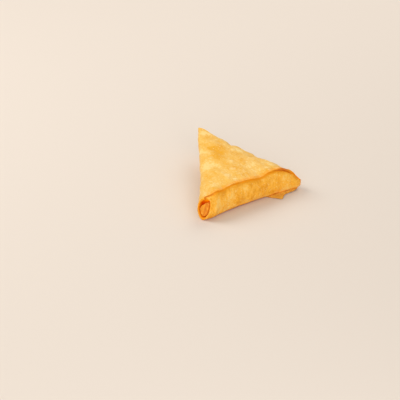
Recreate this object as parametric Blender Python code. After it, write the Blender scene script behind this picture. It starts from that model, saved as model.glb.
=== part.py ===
# A three-cornered fried pastry pocket with its filling shut inside, resting on its belly.
# X runs along the folded front, from the rolled corner on the left to the blunt corner on the
# right. Y runs back to the thin apex. Z is up from the surface that the pocket lies on.
# Sizes are in millimetres until the mesh is made.

import math

import bmesh
import bpy
import numpy as np

MM = 0.001

# Plan: the three corners, and how far the two folded sides draw in between them, by the share of
# the way from the corner to the apex.
LEFT_CORNER = (-65.5, 6.7)
RIGHT_CORNER = (74.0, 6.0)
APEX = (14.0, 137.0)
LEFT_SAG = ((0, 0), (0.1, 1.6), (0.2, 2.5), (0.3, 2.9), (0.4, 2.6), (0.5, 2.0), (0.6, 1.8),
            (0.68, 1.3), (0.8, -0.2), (0.9, -0.4), (1, -0.6))
RIGHT_SAG = ((0, 0), (0.1, 1.8), (0.18, 3.0), (0.24, 3.6), (0.3, 5.8), (0.36, 6.5), (0.43, 3.8),
             (0.5, 5.2), (0.58, 3.0), (0.655, 4.2), (0.72, 2.6), (0.8, 2.0), (0.87, 0.7),
             (0.93, -2.2), (1, -1.2))
PAST_CORNERS = 0.15  # how far each fold's line runs on past its two ends, as a share of it
APEX_SOFTNESS = 1.4
END_FADE = 2.0  # reach over which a slice's own end is made to count as the fold

# Heights: the plane that both folds lie in, its low places on the right (X, Y, reach and depth),
# the dough at a fold, and the swell on either side.
FOLD_HEIGHT = 13.2
FOLD_RISE = 0.158
FOLD_ROLL = -0.025
LOW_PLACES = ((57.0, 22.0, 12.0, 1.6), (63.0, 16.0, 8.0, 1.5), (43.0, 54.0, 10.0, 1.6),
              (29.0, 88.0, 5.0, 1.4))
DOUGH = 2.4
TOP_SWELL = 19.5
TOP_SWELL_AT_APEX = 3.5
TOP_CROWN = 2.5
TOP_REACH = 28.0
SWELL_POWER = 0.6
BELLY_REACH = 24.0
BELLY_FLAT_TO = 48.0
BELLY_RISE_POWER = 1.5
BELLY_PRESSED = 1.5  # how far the belly would sag if the surface did not press it flat
WAVE = 0.5
WAVE_REACH = (9.0, 14.0, 11.0, 23.0)

# Blisters raised by frying on the top sheet.
BLISTERS = 34
BLISTER_SIZE = (3.2, 6.0)
BLISTER_HEIGHT = (0.4, 1.0)
BLISTER_SEED = 11
BLISTER_MARGIN = (9.0, 12.0)

# Front: the line of its foremost points, the browned edge of the top sheet, and the band below.
FRONT_LINE = ((-66, -10.5), (-56, -10), (-42, -6), (-22, -2.2), (0, 0.2), (25, 1.8), (74, 2.0))
LIP_HEIGHT = ((-66, 31), (-54, 35), (-48, 35), (-42, 33.2), (-37, 32.4), (-30, 33.4), (-24, 34),
              (-18, 33.8), (-11, 33.1), (-4, 32.7), (4, 31.8), (10, 30.8), (16, 29.9), (22, 30.7),
              (27, 32.8), (33, 33.4), (44, 33.2), (51, 31.2), (58.5, 26), (64.6, 21.6),
              (68.5, 17.2), (74, 13))
LIP_SETBACK = 3.4
LIP_THICKNESS = 1.6
LIP_FACE = (0.3, 0.8)  # shares of the thickness at which its foremost points lie
LIP_OVERHANG = 1.2
LIP_ROUND = 0.6
LIP_FADE = 14.0
FOOT_FADE = 8.0
BAND_MIDDLE = 0.45
BAND_UNDER = 6.5
BAND_ARC = (58.0, 8.0)
MOST_SETBACK = 0.3  # shares of a slice's depth that the lip and the foot may take
MOST_UNDER = 0.5

# Left end: an oval roll, open at its end, with the inner turn of dough just inside the mouth.
# Pairs give the size at the sides, and above and below.
MOUTH_X = -61.3
MOUTH_Y = -1.2
MOUTH_HEIGHT = 13.95
MOUTH_HALF_WIDTH = 8.1
MOUTH_HALF_HEIGHT = 13.85
MOUTH_SLANT = 0.49
MOUTH_LEAN = 0.22
ROLL_FULLNESS = (0.8, 1.25)  # of its upper and lower back: below 1 squarer than an oval
ROLL_SKEW = 1.8  # how far its top leans to the front, and how much further the opening does
OPEN_SKEW = 1.4
ROLL_REACH = 19.0
ROLL_LIP_ANGLE = 58.0
ROLL_LIP_STEPS = (2.0, 5.0, 8.5)
ROLL_LIP_TURN = 12.0
ROLL_LIP_TUCK = (0.92, 0.96, 1.0)
WALL = (1.8, 2.6)
RIM_RINGS = ((1.0, 0.3), (0.5, -0.7), (0.15, -0.5))  # shares of the wall, and depths
MOUTH_DEPTH = 6.0
TURN_GAP = (1.25, 2.1)
TURN_RINGS = ((0.5, 0.5), (0.86, 0.5), (1.0, 1.8))  # shares of the inner turn, and depths
TURN_DROP = 1.05
TURN_SHIFT = 0.5
TURN_CUT = 0.34  # how much its upper back corner is drawn in, where, and how widely
TURN_CUT_ANGLE = 48.0
TURN_CUT_WIDTH = 34.0

# Right end: the blunt nose, and the loose corner of the under sheet that shows below the front.
NOSE_FROM = 59.0
NOSE_TO = 74.0
NOSE_CENTRE = (6.0, 8.5)
NOSE_BLUNTNESS = 2.8
FLAP_EDGE = ((25, 9), (30, 3), (36, -4), (40.3, -7.7), (43.5, -5), (47, -1.5), (57, 0.6),
             (65, 1.9), (71, 5.5))
FLAP_LIFT = ((25, 0.1), (40, 0.15), (50, 0.3), (60, 0.6), (71, 1.5))
FLAP_THICKNESS = 1.25
FLAP_ROOT = 14.0
FLAP_UNDER = 5.0  # how far the root stays inside the folded side behind it
FLAP_TAPER = 5.0
FLAP_TIP = 0.9  # 1 would bring its right end to a point
FLAP_ROUNDNESS = 0.5  # 1 would make its section an oval, and 0 a box

# How finely the solid is cut into faces.
STATIONS = 56
STATION_CROWDING = 0.05
NOSE_STATIONS = 6
TOP_POINTS = 27
BAND_POINTS = 11
BELLY_POINTS = 16
FLAP_STATIONS = 26
FLAP_POINTS = 12

CRUST_COLOUR = (0.91, 0.53, 0.12, 1.0)
CRUST_ROUGHNESS = 0.5


def curve_through(knots):
    """A smooth function through a few pairs of place and value."""
    places, values = np.array(knots, float).T
    slopes = np.gradient(values, places)

    def value(at):
        at = np.clip(at, places[0], places[-1])
        low = np.clip(np.searchsorted(places, at, side="right") - 1, 0, len(places) - 2)
        step = places[low + 1] - places[low]
        t = (at - places[low]) / step
        return (
            (1 + 2 * t) * (1 - t) ** 2 * values[low]
            + t * (1 - t) ** 2 * step * slopes[low]
            + t * t * (3 - 2 * t) * values[low + 1]
            - t * t * (1 - t) * step * slopes[low + 1]
        )

    return value


def smooth_step(low, high, at):
    t = np.clip((at - low) / (high - low), 0, 1)
    return t * t * (3 - 2 * t)


front_line = curve_through(FRONT_LINE)
lip_height = curve_through(LIP_HEIGHT)
flap_edge = curve_through(FLAP_EDGE)
flap_lift = curve_through(FLAP_LIFT)


def fold_points(corner, sag, count=120):
    """Plan points of one folded side, from its corner to the apex and a little past both."""
    start, end = np.array(corner), np.array(APEX)
    t = np.linspace(-PAST_CORNERS, 1 + PAST_CORNERS, count)[:, None]
    along = end - start
    inward = np.array((along[1], -along[0])) / np.hypot(*along) * math.copysign(1, along[0])
    return start + t * along + inward * curve_through(sag)(t)


LEFT_FOLD = fold_points(LEFT_CORNER, LEFT_SAG)
RIGHT_FOLD = fold_points(RIGHT_CORNER, RIGHT_SAG)


def distance_to(line, x, y):
    """Plan distance from each point to a line of straight pieces."""
    start, step = line[:-1], np.diff(line, axis=0)
    dx = np.asarray(x)[..., None] - start[:, 0]
    dy = np.asarray(y)[..., None] - start[:, 1]
    t = np.clip((dx * step[:, 0] + dy * step[:, 1]) / (step**2).sum(1), 0, 1)
    return np.hypot(dx - t * step[:, 0], dy - t * step[:, 1]).min(-1)


def fold_behind(x, slant):
    """Y at which a slice through x, slanted in plan, meets the folded edge behind it."""
    left_y, left_x = LEFT_FOLD[:, 1], LEFT_FOLD[:, 0]
    on_left = np.interp(x, left_x + slant * (left_y - MOUTH_Y), left_y)
    on_right = np.interp(x, RIGHT_FOLD[::-1, 0], RIGHT_FOLD[::-1, 1])
    soft = APEX_SOFTNESS
    nearest = min(on_left, on_right)
    rest = math.exp(-abs(on_left - on_right) / soft)
    return nearest - soft * math.log1p(rest)


def swell(x, y, reach):
    """0 at either folded side, 1 well inside, and round in between."""
    left, right = distance_to(LEFT_FOLD, x, y), distance_to(RIGHT_FOLD, x, y)
    inside = left * right / np.maximum(left + right, 1e-6)
    return (1 - (1 - np.clip(inside / reach, 0, 1)) ** 2) ** SWELL_POWER


def from_fold(x, y):
    return np.minimum(distance_to(LEFT_FOLD, x, y), distance_to(RIGHT_FOLD, x, y))


def fold_level(x, y):
    """Height of the two folds, which lie in one plane but for a few low places."""
    level = FOLD_HEIGHT + FOLD_RISE * y + FOLD_ROLL * x
    for at_x, at_y, reach, depth in LOW_PLACES:
        away = ((x - at_x) ** 2 + (y - at_y) ** 2) / reach**2
        level = level - depth * np.exp(-away)
    return level


def blister_places():
    """Seeded X, Y, radius and height of each blister, in plan."""
    draw = np.random.RandomState(BLISTER_SEED)
    across, along = BLISTER_MARGIN
    x = draw.uniform(LEFT_CORNER[0] + across, RIGHT_CORNER[0] - across, BLISTERS)
    y = draw.uniform(0, APEX[1] - along, BLISTERS)
    radius = draw.uniform(*BLISTER_SIZE, BLISTERS)
    height = draw.uniform(*BLISTER_HEIGHT, BLISTERS)
    return np.column_stack((x, y, radius, height))


BLISTER_PLACES = blister_places()


def blisters(x, y):
    """Height of the blisters over the top sheet."""
    height = np.zeros(np.shape(x))
    for at_x, at_y, radius, rise in BLISTER_PLACES:
        away = ((x - at_x) ** 2 + (y - at_y) ** 2) / radius**2
        height = np.maximum(height, rise * np.clip(1 - away, 0, 1))
    return height


def dough_edge(inset):
    """Half the dough's thickness, rounded off at the folded edge."""
    return DOUGH * np.sqrt(1 - (1 - np.clip(inset / DOUGH, 0, 1)) ** 2)


def top_height(x, y, inset):
    back = np.clip(y / APEX[1], 0, 1)
    rise = TOP_SWELL + (TOP_SWELL_AT_APEX - TOP_SWELL) * back
    first_x, first_y, second_y, second_x = WAVE_REACH
    waves = WAVE * np.sin(x / first_x + y / first_y) * np.sin(y / second_y - x / second_x)
    inside = swell(x, y, TOP_REACH)
    crown = TOP_CROWN * np.sin(np.pi * back)
    lift = rise - DOUGH + crown + waves + blisters(x, y)
    return fold_level(x, y) + dough_edge(inset) + lift * inside


def belly_height(x, y, inset):
    tail = np.clip((y - BELLY_FLAT_TO) / (APEX[1] - BELLY_FLAT_TO), 0, 1)
    at_apex = fold_level(*APEX) - DOUGH
    lowest = at_apex * tail**BELLY_RISE_POWER - BELLY_PRESSED * (1 - tail)
    fold = fold_level(x, y)
    depth = fold - DOUGH - lowest
    height = fold - dough_edge(inset) - depth * swell(x, y, BELLY_REACH)
    return np.maximum(height, 0)


def toward_fold(count):
    """Shares from 0 at the fold to 1 at the front, closer together near the fold."""
    s = np.linspace(0, 1, count)
    return s * s * 3 / (1 + 2 * s)


def fading(away, whole, reach):
    """1 at the front edge, fading away from it, and 0 at the fold."""
    return np.exp(-away / reach) - math.exp(-whole / reach) * (away / whole) ** 2


def body_slice(x, slant):
    """Y and Z round the plain body: fold, top, lip, band, belly."""
    back = fold_behind(x, slant)
    front = float(front_line(x))
    depth = back - front
    setback, under = min(LIP_SETBACK, MOST_SETBACK * depth), min(BAND_UNDER, MOST_UNDER * depth)
    lip_y, lip_z = front + setback, float(lip_height(x))
    foot_y = front + under
    middle = lip_z * BAND_MIDDLE

    def plan(y):
        """X at a Y of the slice, and how far in from the folds that is: 0 at the slice's end."""
        across = x - slant * (y - MOUTH_Y)
        at_end = float(from_fold(x - slant * (back - MOUTH_Y), back))
        inset = from_fold(across, y) - at_end * np.exp(-(back - y) / END_FADE)
        return across, np.maximum(inset, 0)

    y_top = back + (lip_y - back) * toward_fold(TOP_POINTS)
    x_top, inset = plan(y_top)
    z_top = top_height(x_top, y_top, inset)
    z_top += (lip_z - z_top[-1]) * fading(y_top - lip_y, back - lip_y, LIP_FADE)

    tucked_y, tucked_z = lip_y + LIP_OVERHANG - LIP_ROUND, lip_z - LIP_THICKNESS - LIP_ROUND / 2
    y_lip = (lip_y - LIP_ROUND, lip_y - LIP_ROUND, tucked_y)
    z_lip = (*(lip_z - share * LIP_THICKNESS for share in LIP_FACE), tucked_z)

    upper = np.radians(np.linspace(*BAND_ARC, BAND_POINTS // 2))
    reach_up = (tucked_z - LIP_ROUND - middle) / math.sin(upper[0])
    bulge = (tucked_y - front - LIP_ROUND / 3) / (1 - math.cos(upper[0]))
    y_up = front + bulge * (1 - np.cos(upper))
    z_up = middle + reach_up * np.sin(upper)

    lower = np.radians(np.linspace(BAND_ARC[1], 90, BAND_POINTS - len(upper)))
    y_down = front + under * (1 - np.cos(lower))
    z_down = middle - middle * np.sin(lower)

    y_belly = back + (foot_y - back) * toward_fold(BELLY_POINTS)[::-1]
    x_belly, inset = plan(y_belly)
    z_belly = belly_height(x_belly, y_belly, inset)
    z_belly -= z_belly[0] * fading(y_belly - foot_y, back - foot_y, FOOT_FADE)
    y_belly, z_belly = y_belly[1:-1], np.maximum(z_belly[1:-1], 0)
    y = np.concatenate((y_top, y_lip, y_up, y_down, y_belly))
    z = np.concatenate((z_top, z_lip, z_up, z_down, z_belly))
    return y, z


def roll_angles():
    """Degrees round the roll from its back over its top, one for each point of a body slice."""
    top = np.linspace(0, ROLL_LIP_ANGLE, TOP_POINTS)
    lip = ROLL_LIP_ANGLE + np.array(ROLL_LIP_STEPS)
    band = np.linspace(ROLL_LIP_ANGLE + ROLL_LIP_TURN, 270, BAND_POINTS)
    belly = np.linspace(270, 360, BELLY_POINTS)[1:-1]
    return np.concatenate((top, lip, band, belly))


def roll_slice(stretch=0.0, tucked=True):
    """Y and Z round the oval roll at the left end, its back stretched to the fold as asked."""
    angle = np.radians(roll_angles())
    c, s = np.cos(angle), np.sin(angle)
    power = np.where(c > 0, np.where(s > 0, *ROLL_FULLNESS), 1.0)
    across = MOUTH_HALF_WIDTH * np.sign(c) * np.abs(c) ** power
    across += stretch * np.clip(c, 0, 1) ** 2 - ROLL_SKEW * np.clip(s, 0, 1) ** 2
    tuck = np.ones(len(angle))
    if tucked:
        first = TOP_POINTS + len(ROLL_LIP_STEPS) - 1
        tuck[first : first + len(ROLL_LIP_TUCK)] = ROLL_LIP_TUCK
    y = MOUTH_Y + tuck * across
    z = MOUTH_HEIGHT + tuck * MOUTH_HALF_HEIGHT * np.sign(s) * np.abs(s) ** power
    return y, z


def askew(x, y, z, near_mouth):
    """A slice's points in space, turned in plan and leaned over as it nears the mouth."""
    slant, lean = MOUTH_SLANT * near_mouth, MOUTH_LEAN * near_mouth
    return np.column_stack((x - slant * (y - MOUTH_Y) + lean * (z - MOUTH_HEIGHT), y, z))


def station(x):
    """One closed ring of points round the pocket."""
    near_mouth = 1 - smooth_step(MOUTH_X, MOUTH_X + ROLL_REACH, x)
    slant = MOUTH_SLANT * near_mouth
    y, z = body_slice(x, slant)
    roll_y, roll_z = roll_slice(max(fold_behind(x, slant) - MOUTH_Y - MOUTH_HALF_WIDTH, 0))
    y, z = y + (roll_y - y) * near_mouth, z + (roll_z - z) * near_mouth
    if x > NOSE_FROM:
        along = min((x - NOSE_FROM) / (NOSE_TO - NOSE_FROM), 1)
        shrink = (1 - along**NOSE_BLUNTNESS) ** (1 / NOSE_BLUNTNESS)
        y = NOSE_CENTRE[0] + shrink * (y - NOSE_CENTRE[0])
        z = NOSE_CENTRE[1] + shrink * (z - NOSE_CENTRE[1])
    return askew(x, y, z, near_mouth)


def mouth_rings():
    """Rings from the centre of the inner turn out to the rim of the roll."""
    outer = askew(MOUTH_X, *roll_slice(tucked=False), 1)
    middle = np.array((MOUTH_X, MOUTH_Y, MOUTH_HEIGHT))
    into = np.array((1, MOUTH_SLANT / 2, -MOUTH_LEAN / 2))
    into /= np.linalg.norm(into)
    halves = np.array((MOUTH_HALF_WIDTH, MOUTH_HALF_WIDTH, MOUTH_HALF_HEIGHT))
    wall, slide = np.array(WALL), np.array((-MOUTH_SLANT * TURN_SHIFT, TURN_SHIFT, -TURN_DROP))

    def oval(outline, inset, depth, opened=1.0):
        side, high = inset
        ring = middle + (outline - middle) * (1 - np.array((side, side, high)) / halves)
        lifted = np.clip((outline[:, 2] - MOUTH_HEIGHT) / MOUTH_HALF_HEIGHT, 0, 1) ** 2
        ring += opened * OPEN_SKEW * lifted[:, None] * np.array((MOUTH_SLANT, -1, 0))
        return ring + into * depth

    away = (roll_angles() - TURN_CUT_ANGLE + 180) % 360 - 180
    drawn_in = 1 - TURN_CUT * np.exp(-((away / TURN_CUT_WIDTH) ** 2))
    turned = middle + (outer - middle) * drawn_in[:, None]
    turn_edge, turn_middle = oval(turned, wall + TURN_GAP, 0) + slide, middle + slide
    rings = [
        turn_middle + (turn_edge - turn_middle) * share + into * depth
        for share, depth in (*TURN_RINGS, (1.0, MOUTH_DEPTH))
    ]
    rings.append(oval(outer, wall, MOUTH_DEPTH))
    rings += [oval(outer, wall * share, depth, share) for share, depth in RIM_RINGS]
    return rings


def station_places():
    """X of each ring, closer together towards both ends."""
    t = np.linspace(0, 1, STATIONS)
    span = NOSE_FROM - MOUTH_X
    at_apex = (APEX[0] - MOUTH_X) / span
    shares = t + STATION_CROWDING * np.sin(2 * np.pi * (t - at_apex))
    places = MOUTH_X + span * (shares - shares[0]) / (shares[-1] - shares[0])
    turn = np.linspace(0, math.pi / 2, NOSE_STATIONS + 1)[1:-1]
    return list(places) + list(NOSE_FROM + (NOSE_TO - NOSE_FROM) * np.sin(turn))


def closed_loft(name, rings, blunt_start=None, blunt_end=None):
    """A closed solid skinned over rings of equal count, each end shut by a fan to a point."""
    mesh = bmesh.new()
    rows = [[mesh.verts.new(point * MM) for point in ring] for ring in rings]
    count = len(rows[0])
    for row, following in zip(rows, rows[1:]):
        for i in range(count):
            j = (i + 1) % count
            mesh.faces.new((row[i], row[j], following[j], following[i]))
    for row, tip in ((rows[0], blunt_start), (rows[-1], blunt_end)):
        tip = np.mean([vert.co for vert in row], axis=0) if tip is None else np.array(tip) * MM
        point = mesh.verts.new(tip)
        for i in range(count):
            mesh.faces.new((row[i], row[(i + 1) % count], point))
    bmesh.ops.triangulate(mesh, faces=mesh.faces)
    bmesh.ops.recalc_face_normals(mesh, faces=mesh.faces)
    data = bpy.data.meshes.new(name)
    mesh.to_mesh(data)
    mesh.free()
    piece = bpy.data.objects.new(name, data)
    bpy.context.collection.objects.link(piece)
    return piece


def pocket():
    rings = mouth_rings() + [station(x) for x in station_places()]
    return closed_loft("pastry_pocket", rings, blunt_end=(NOSE_TO, *NOSE_CENTRE))


def loose_corner():
    """The thin free corner of the under sheet, rooted inside the pocket."""
    first, last = FLAP_EDGE[0][0], FLAP_EDGE[-1][0]
    turn = 2 * np.pi * np.arange(FLAP_POINTS) / FLAP_POINTS
    rings = []
    for x in np.linspace(first, last, FLAP_STATIONS):
        taper = math.sqrt(1 - FLAP_TIP * (1 - min((last - x) / FLAP_TAPER, 1)) ** 2)
        root = min(FLAP_ROOT, fold_behind(x, 0) - FLAP_UNDER)
        half = (root - float(flap_edge(x))) / 2
        middle_y, middle_z = root - half, float(flap_lift(x)) + FLAP_THICKNESS / 2
        y = middle_y + half * taper * np.cos(turn)
        rounded = np.sign(np.sin(turn)) * np.abs(np.sin(turn)) ** FLAP_ROUNDNESS
        z = middle_z + FLAP_THICKNESS / 2 * taper * rounded
        rings.append(np.column_stack((np.full(FLAP_POINTS, x), y, z)))
    return closed_loft("loose_corner", rings)


def join(body, addition):
    """Fuses an addition into the body and removes it."""
    union = body.modifiers.new("join", "BOOLEAN")
    union.operation = "UNION"
    union.object = addition
    bpy.context.view_layer.update()
    graph = bpy.context.evaluated_depsgraph_get()
    fused = bpy.data.meshes.new_from_object(body.evaluated_get(graph))
    body.modifiers.clear()
    body.data = fused
    bpy.data.objects.remove(addition)


def crust():
    material = bpy.data.materials.new("fried_crust")
    material.use_nodes = True
    shader = material.node_tree.nodes["Principled BSDF"]
    shader.inputs["Base Color"].default_value = CRUST_COLOUR
    shader.inputs["Roughness"].default_value = CRUST_ROUGHNESS
    return material


def centre_on_floor(piece):
    """Moves the mesh so that the middle of its box stands over the origin, with its foot at 0."""
    points = np.array([vert.co for vert in piece.data.vertices])
    low, high = points.min(0), points.max(0)
    shift = np.array(((low[0] + high[0]) / 2, (low[1] + high[1]) / 2, low[2]))
    piece.data.vertices.foreach_set("co", (points - shift).ravel())
    piece.data.update()


def main():
    for item in list(bpy.data.objects):
        bpy.data.objects.remove(item)
    body = pocket()
    join(body, loose_corner())
    centre_on_floor(body)
    body.data.materials.clear()
    body.data.materials.append(crust())
    body.data.shade_smooth()


if __name__ == "__main__":
    main()
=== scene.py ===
import math

import bpy
import numpy as np
from mathutils import Matrix, Vector


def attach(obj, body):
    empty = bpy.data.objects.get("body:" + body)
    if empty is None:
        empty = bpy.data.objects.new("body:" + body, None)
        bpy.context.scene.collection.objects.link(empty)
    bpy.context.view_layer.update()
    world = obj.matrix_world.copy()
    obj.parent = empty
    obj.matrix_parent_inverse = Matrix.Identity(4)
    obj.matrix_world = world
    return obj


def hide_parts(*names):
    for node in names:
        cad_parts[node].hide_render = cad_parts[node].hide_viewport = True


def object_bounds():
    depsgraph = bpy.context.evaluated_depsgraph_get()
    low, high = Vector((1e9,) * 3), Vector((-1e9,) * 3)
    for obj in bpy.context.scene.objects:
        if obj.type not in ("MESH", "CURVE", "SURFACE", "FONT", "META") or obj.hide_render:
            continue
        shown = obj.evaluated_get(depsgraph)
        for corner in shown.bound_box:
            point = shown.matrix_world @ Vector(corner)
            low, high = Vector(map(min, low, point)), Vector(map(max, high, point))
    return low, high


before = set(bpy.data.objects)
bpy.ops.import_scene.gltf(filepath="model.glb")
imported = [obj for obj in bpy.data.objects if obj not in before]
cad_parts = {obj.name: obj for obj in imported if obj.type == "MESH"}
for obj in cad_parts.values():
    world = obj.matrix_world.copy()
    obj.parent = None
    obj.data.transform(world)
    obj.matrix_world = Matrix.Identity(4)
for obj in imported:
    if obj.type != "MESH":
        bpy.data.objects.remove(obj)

# The pocket is worked out in millimetres in its own plan: X along the folded front from the
# rolled corner to the blunt one, Y back to the point, Z up. Each mesh is then set onto the frame.
mm = 0.001
tiny = 1e-9  # keeps a division from zero
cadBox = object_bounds()
print("frame loaded")


def curveThrough(knots):
    # a smooth line through a few pairs of place and value
    places, values = np.array(knots, float).T
    slopes = np.gradient(values, places)

    def value(at):
        at = np.clip(at, places[0], places[-1])
        low = np.clip(np.searchsorted(places, at, side="right") - 1, 0, len(places) - 2)
        step = places[low + 1] - places[low]
        t = (at - places[low]) / step
        return (
            (1 + 2 * t) * (1 - t) ** 2 * values[low]
            + t * (1 - t) ** 2 * step * slopes[low]
            + t * t * (3 - 2 * t) * values[low + 1]
            - t * t * (1 - t) * step * slopes[low + 1]
        )

    return value


def smoothStep(low, high, at):
    t = np.clip((at - low) / (high - low), 0, 1)
    return t * t * (3 - 2 * t)


def hump(at, centre, width):
    return np.exp(-(((at - centre) / width) ** 2))


def faded(away, strength, reach):
    # a strength that fades with the distance
    return strength * hump(away, 0, reach)


def rolling(points, reach, seed, waves=10, lengths=(0.7, 1.5)):
    # soft uneven hills, mostly between -1 and 1, made of a few slanted waves of about that reach
    draw = np.random.RandomState(seed)
    total = np.zeros(points.shape[:-1])
    for _ in range(waves):
        direction = draw.normal(size=3)
        direction /= np.linalg.norm(direction)
        length = reach * draw.uniform(*lengths)
        total += np.sin(points @ direction * 2 * math.pi / length + draw.uniform(0, 2 * math.pi))
    return total / math.sqrt(waves)


def domes(across, along, places, steepness=1.5):
    # low round bubbles over a sheet: at each point the highest one counts
    height = np.zeros(np.shape(across))
    for atAcross, atAlong, radius, rise in places:
        away = ((across - atAcross) ** 2 + (along - atAlong) ** 2) / radius**2
        height = np.maximum(height, rise * np.clip(1 - away, 0, 1) ** steepness)
    return height


def scatter(count, box, radii, heights, seed, lowest=0.6):
    # seeded places, radii and heights of bubbles in a box of the sheet, small ones the commonest
    draw = np.random.RandomState(seed)
    across = draw.uniform(box[0], box[1], count)
    along = draw.uniform(box[2], box[3], count)
    share = draw.uniform(0, 1, count) ** 2
    radius = radii[0] + (radii[1] - radii[0]) * share
    height = heights[0] + (heights[1] - heights[0]) * share * draw.uniform(lowest, 1, count)
    return np.column_stack((across, along, radius, height))


pocket = {
    "leftCorner": (-65.5, 6.7),
    "rightCorner": (74, 6),
    "point": (14, 137),
    # how far each folded side draws in, by its share of the way from the corner to the point
    "leftSag": ((0, 0), (0.1, 1.6), (0.2, 2.5), (0.3, 2.9), (0.4, 2.6), (0.5, 2), (0.6, 1.8),
                (0.68, 1.3), (0.8, -0.2), (0.9, -0.4), (1, -0.6)),
    "rightSag": ((0, 0), (0.1, 1.8), (0.18, 3), (0.24, 3.6), (0.3, 5.8), (0.36, 6.5), (0.43, 3.8),
                 (0.5, 5.2), (0.58, 3), (0.655, 4.2), (0.72, 2.6), (0.8, 2), (0.87, 0.7),
                 (0.93, -2.2), (1, -1.2)),
    "foldSteps": 120,
    "foldOverrun": 0.15,  # share of its length that each fold's line runs on at both ends
    "pointSoftness": 1.4,
    "endFade": 2,
    "foldHeight": 13.2,  # the plane that both folds lie in
    "foldRise": 0.158,
    "foldRoll": -0.025,
    "dough": 2.4,
    "topSwell": 19.5,
    "topSwellAtPoint": 3.5,
    "topCrown": 2.5,
    "topReach": 28,
    "swellPower": 0.6,
    # low places of the fold and the sheet beside it, on the right: X, Y, reach and depth
    "lowPlaces": ((57, 22, 12, 1.6), (63, 16, 8, 1.5), (43, 54, 10, 1.6),
                  (29, 88, 5, 1.4)),
    "bellyReach": 24,
    "bellyFlatTo": 48,
    "bellyRisePower": 1.5,
    "bellyPressed": 1.5,
    "wave": 0.5,
    "waveReach": (9, 14, 11, 23),
    "frontLine": ((-66, -10.5), (-56, -10), (-42, -6), (-22, -2.2), (0, 0.2), (25, 1.8), (74, 2)),
    "lipHeight": ((-66, 31), (-54, 35), (-48, 35), (-42, 33.2), (-37, 32.4), (-30, 33.4),
                  (-24, 34), (-18, 33.8), (-11, 33.1), (-4, 32.7), (4, 31.8), (10, 30.8), (16, 29.9),
                  (22, 30.7), (27, 32.8), (33, 33.4), (44, 33.2), (51, 31.2), (58.5, 26),
                  (64.6, 21.6), (68.5, 17.2), (74, 13)),
    "lipSetback": 3.4,
    "lipFade": 14,
    "beadRadius": ((-62, 0.9), (-40, 0.75), (-10, 0.7), (25, 0.7), (40, 0.8), (47, 1.1), (56, 1.1),
                   (62, 0.85), (72, 0.6)),
    # in bead radii: where the top sheet turns into the bead, then round it into the groove below
    "beadRun": (3.2, 2.1),
    "beadProfile": ((1.25, 0.12), (0.5, 0.22), (-0.25, 0.02), (-0.75, -0.55), (-0.62, -1.2),
                    (-0.05, -1.62), (0.5, -1.8), (0.45, -2.15), (0.12, -2.6)),
    "footFade": 8,
    "bandMiddle": 0.45,  # share of the lip's height at which the band stands furthest out
    "bandUnder": 6.5,
    "bandArc": (58, 8),  # degrees above its middle: where its upper arc starts and ends
    # shares of a slice's depth that these never pass
    "mostSetback": 0.3,
    "mostUnder": 0.5,
    "mostBead": 0.12,
    "noseFrom": 59,
    "noseTo": 74,
    "noseCentre": (6, 8.5),
    "noseBluntness": 2.8,
    "stations": 215,
    "noseStations": 22,
    "crowding": 0.05,
    "topPoints": 150,
    "lipPoints": 26,
    "bandPoints": 52,
    "bellyPoints": 52,
}

roll = {
    "at": (-61.3, -1.2, 13.95),  # the middle of its mouth
    "halfWidth": 8.1,
    "halfHeight": 13.85,
    "fullness": (0.8, 1.25),  # of its upper and its lower back: 1 is oval, less is squarer
    "topSkew": 1.8,  # how far its top leans to the front, and how much further the opening does
    "openSkew": 1.4,
    "slant": 0.49,
    "lean": 0.22,
    "axisTurn": 0.5,  # how far its axis turns from X to square with the mouth
    "reach": 19,
    "lipAngle": 58,
    "lipTurn": 12,
    # the bulge before the seam and the groove in it: share of the radius, place on the lip, width
    "seamBulge": (0.012, 0.35, 0.2),
    "seamGroove": (0.09, 0.86, 0.16),
    "grooveLeft": 0.4,  # share of the groove that is left where the band starts
    "grooveSteps": 8,
    "wall": (1.8, 2.6),  # at the sides, and above and below
    "rimOut": 0.7,
    "rimSteps": 12,
    "wallFrom": 0.4,
    "wallSteps": 14,
    "depth": 11,
}

mouthX, mouthY, mouthZ = roll["at"]
frontLine = curveThrough(pocket["frontLine"])
lipHeight = curveThrough(pocket["lipHeight"])
beadRadius = curveThrough(pocket["beadRadius"])

# which points of every ring lie on the top sheet, the lip, the band and the belly
lipStart = pocket["topPoints"]
bandStart = lipStart + pocket["lipPoints"]
bellyStart = bandStart + pocket["bandPoints"]
topSpan, lipSpan = slice(0, lipStart), slice(lipStart, bandStart)
bandSpan, bellySpan = slice(bandStart, bellyStart), slice(bellyStart, None)
acrossLip, acrossBand, acrossBelly = (
    np.linspace(0, 1, pocket[name]) for name in ("lipPoints", "bandPoints", "bellyPoints"))


def foldPoints(corner, sag):
    # plan points of one folded side, from before its corner to a little past the point
    start, end = np.array(corner), np.array(pocket["point"])
    overrun = pocket["foldOverrun"]
    t = np.linspace(-overrun, 1 + overrun, pocket["foldSteps"])[:, None]
    along = end - start
    inward = np.array((along[1], -along[0])) / np.hypot(*along) * math.copysign(1, along[0])
    return start + t * along + inward * curveThrough(sag)(t)


leftFold = foldPoints(pocket["leftCorner"], pocket["leftSag"])
rightFold = foldPoints(pocket["rightCorner"], pocket["rightSag"])


def distanceTo(line, x, y):
    # how far each place is from a line of plan points
    start, step = line[:-1], np.diff(line, axis=0)
    dx = np.asarray(x)[..., None] - start[:, 0]
    dy = np.asarray(y)[..., None] - start[:, 1]
    t = np.clip((dx * step[:, 0] + dy * step[:, 1]) / (step**2).sum(1), 0, 1)
    return np.hypot(dx - t * step[:, 0], dy - t * step[:, 1]).min(-1)


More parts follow.
